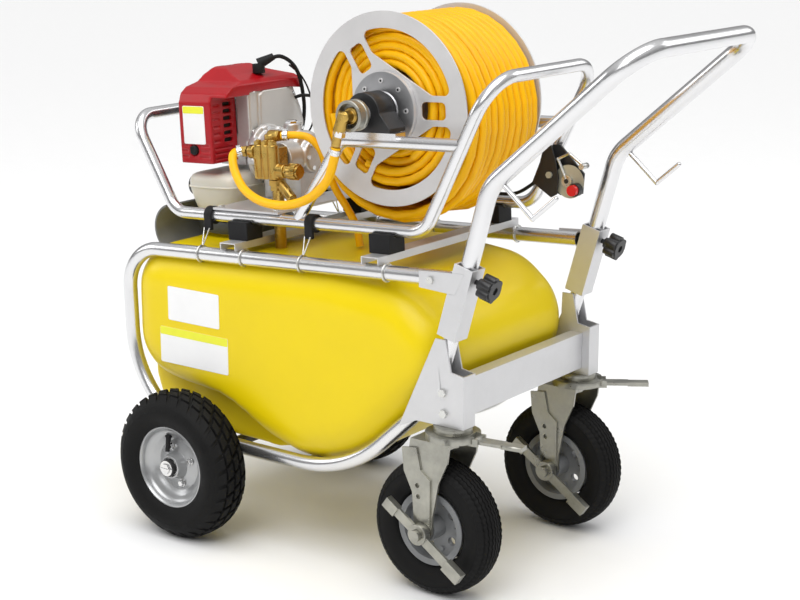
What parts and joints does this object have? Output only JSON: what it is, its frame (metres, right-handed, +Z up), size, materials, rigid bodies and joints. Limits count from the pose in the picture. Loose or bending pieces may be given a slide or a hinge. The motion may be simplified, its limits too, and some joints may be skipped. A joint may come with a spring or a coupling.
{
  "type": "wheeled motor sprayer",
  "caption": "Push cart with a plastic liquid tank, an engine-driven spray pump, a hand-cranked hose reel and a telescoping push handle on casters.",
  "frame": {"origin": "middle of the box around the cart, on the ground under the wheels", "axes": "+X from the front wheels to the push handle, +Y to the crank side, +Z up"},
  "size_m": [1.0404, 0.584, 0.9073],
  "materials": {
    "alu_tube": "satin drawn tube",
    "alu_sheet": "matt folded sheet",
    "zinc": "zinc-plated pressed steel",
    "steel": "bright zinc-plated steel",
    "dark_steel": "black painted steel",
    "tank_yellow": "glossy rotomoulded plastic",
    "black_plastic": "matt moulded plastic",
    "grey_plastic": "matt moulded plastic",
    "rim_grey": "matt moulded plastic",
    "rubber": "matt moulded rubber",
    "tyre": "moulded tread rubber",
    "rim_silver": "silver paint on pressed steel",
    "reel_alu": "silver painted cast plate",
    "hose": "smooth spray hose",
    "engine_red": "glossy moulded cover",
    "cast_alu": "shot-blasted casting",
    "fuel_white": "translucent moulded tank",
    "brass": "machined and tumbled",
    "red_knob": "glossy moulded button"
  },
  "bodies": {
    "cart": {"hoop_left": "alu_tube", "hoop_right": "alu_tube", "cross_plate": "alu_sheet", "gussets": "alu_sheet", "sleeves": "alu_sheet", "frame_bolts": "steel", "front_axle": "dark_steel", "cross_channels": "alu_sheet", "rubber_blocks": "rubber", "rubber_straps": "rubber", "wire_hooks": "steel", "tank": "tank_yellow", "front_saddle": "grey_plastic", "carrier_side_left": "alu_tube", "carrier_side_right": "alu_tube", "carrier_hoop_front": "alu_tube", "carrier_hoop_rear": "alu_tube", "bearing_blocks": "black_plastic", "hose_swivel": "brass", "engine_plate": "alu_sheet", "engine_block": "cast_alu", "engine_cover": "engine_red", "engine_shroud": "cast_alu", "engine_starter": "black_plastic", "fuel_tank": "fuel_white", "plug_boot": "rubber", "pump_body": "cast_alu", "pump_manifold": "brass", "suction_pipe": "brass", "delivery_hose": "hose", "bypass_hose": "hose", "control_bracket": "dark_steel", "control_cable": "rubber", "caster_plates": "zinc"},
    "handle": {"handle_frame": "alu_tube"},
    "knob_left": {"knob_left": "black_plastic"},
    "knob_right": {"knob_right": "black_plastic"},
    "lid": {"tank_lid": "grey_plastic"},
    "reel": {"reel_flanges": "reel_alu", "reel_hub": "reel_alu", "hose_winding": "hose"},
    "crank_grip": {"crank_grip": "black_plastic"},
    "front_wheel_left": {"front_tyre_left": "tyre", "front_rim_left": "rim_silver"},
    "front_wheel_right": {"front_tyre_right": "tyre", "front_rim_right": "rim_silver"},
    "fork_left": {"caster_fork_left": "zinc"},
    "fork_right": {"caster_fork_right": "zinc"},
    "caster_wheel_left": {"caster_tyre_left": "tyre", "caster_rim_left": "rim_grey"},
    "caster_wheel_right": {"caster_tyre_right": "tyre", "caster_rim_right": "rim_grey"},
    "brake_left": {"caster_brake_left": "zinc"},
    "brake_right": {"caster_brake_right": "zinc"},
    "lock_left": {"caster_lock_left": "zinc"},
    "lock_right": {"caster_lock_right": "zinc"},
    "throttle": {"throttle_lever": "steel"},
    "stop_button": {"stop_button": "red_knob"},
    "fuel_cap": {"fuel_cap": "black_plastic"},
    "pressure_knob": {"pressure_knob": "brass"}
  },
  "joints": [
    {"name": "front_wheel_left_spin", "type": "hinge", "parent": "cart", "child": "front_wheel_left", "pos_m": [-0.32681, -0.25, 0.13], "axis": [0, 1, 0], "continuous": true},
    {"name": "front_wheel_right_spin", "type": "hinge", "parent": "cart", "child": "front_wheel_right", "pos_m": [-0.32681, 0.25, 0.13], "axis": [0, 1, 0], "continuous": true},
    {"name": "fork_left_swivel", "type": "hinge", "parent": "cart", "child": "fork_left", "pos_m": [0.19719, -0.187, 0.268], "axis": [0, 0, 1], "range_deg": [-150, 118]},
    {"name": "fork_right_swivel", "type": "hinge", "parent": "cart", "child": "fork_right", "pos_m": [0.19719, 0.187, 0.268], "axis": [0, 0, 1], "range_deg": [-170, 115]},
    {"name": "caster_wheel_left_spin", "type": "hinge", "parent": "fork_left", "child": "caster_wheel_left", "pos_m": [0.17019, -0.187, 0.112], "axis": [0, 1, 0], "continuous": true},
    {"name": "caster_wheel_right_spin", "type": "hinge", "parent": "fork_right", "child": "caster_wheel_right", "pos_m": [0.17019, 0.187, 0.112], "axis": [0, 1, 0], "continuous": true},
    {"name": "brake_left_rock", "type": "hinge", "parent": "fork_left", "child": "brake_left", "pos_m": [0.17019, -0.24, 0.112], "axis": [0, 1, 0], "range_deg": [-12, 12]},
    {"name": "brake_right_rock", "type": "hinge", "parent": "fork_right", "child": "brake_right", "pos_m": [0.17019, 0.134, 0.112], "axis": [0, 1, 0], "range_deg": [-12, 12]},
    {"name": "lock_left_press", "type": "hinge", "parent": "fork_left", "child": "lock_left", "pos_m": [0.23977, -0.18102, 0.264], "axis": [-0.1392, 0.9903, 0], "range_deg": [0, 10]},
    {"name": "lock_right_press", "type": "hinge", "parent": "fork_right", "child": "lock_right", "pos_m": [0.23284, 0.21105, 0.264], "axis": [-0.5592, 0.829, 0], "range_deg": [0, 10]},
    {"name": "handle_height", "type": "slide", "parent": "cart", "child": "handle", "axis": [0.2689, 0, 0.9632], "range_m": [0, 0.07]},
    {"name": "knob_left_turn", "type": "hinge", "parent": "cart", "child": "knob_left", "pos_m": [0.25214, -0.188, 0.51284], "axis": [0.9632, 0, -0.2689], "continuous": true},
    {"name": "knob_right_turn", "type": "hinge", "parent": "cart", "child": "knob_right", "pos_m": [0.25214, 0.188, 0.51284], "axis": [0.9632, 0, -0.2689], "continuous": true},
    {"name": "lid_turn", "type": "hinge", "parent": "cart", "child": "lid", "pos_m": [-0.38881, 0, 0.505], "axis": [0, 0, 1], "range_deg": [0, 360]},
    {"name": "reel_spin", "type": "hinge", "parent": "cart", "child": "reel", "pos_m": [0.00755, 0, 0.75132], "axis": [0, 1, 0], "continuous": true},
    {"name": "crank_grip_spin", "type": "hinge", "parent": "reel", "child": "crank_grip", "pos_m": [-0.08732, 0.24, 0.74635], "axis": [0, 1, 0], "continuous": true},
    {"name": "throttle_turn", "type": "hinge", "parent": "cart", "child": "throttle", "pos_m": [0.20351, 0.127, 0.6234], "axis": [0, 1, 0], "range_deg": [-30, 30]},
    {"name": "stop_button_press", "type": "slide", "parent": "cart", "child": "stop_button", "axis": [0, 1, 0], "range_m": [0, 0.0025], "stiffness_N_per_m": 400},
    {"name": "fuel_cap_turn", "type": "hinge", "parent": "cart", "child": "fuel_cap", "pos_m": [-0.45475, -0.046, 0.57288], "axis": [-0.9986, 0, -0.0523], "range_deg": [0, 360]},
    {"name": "pressure_knob_turn", "type": "hinge", "parent": "cart", "child": "pressure_knob", "pos_m": [-0.18742, -0.104, 0.63096], "axis": [0.9986, 0, 0.0523], "range_deg": [-360, 360]}
  ]
}
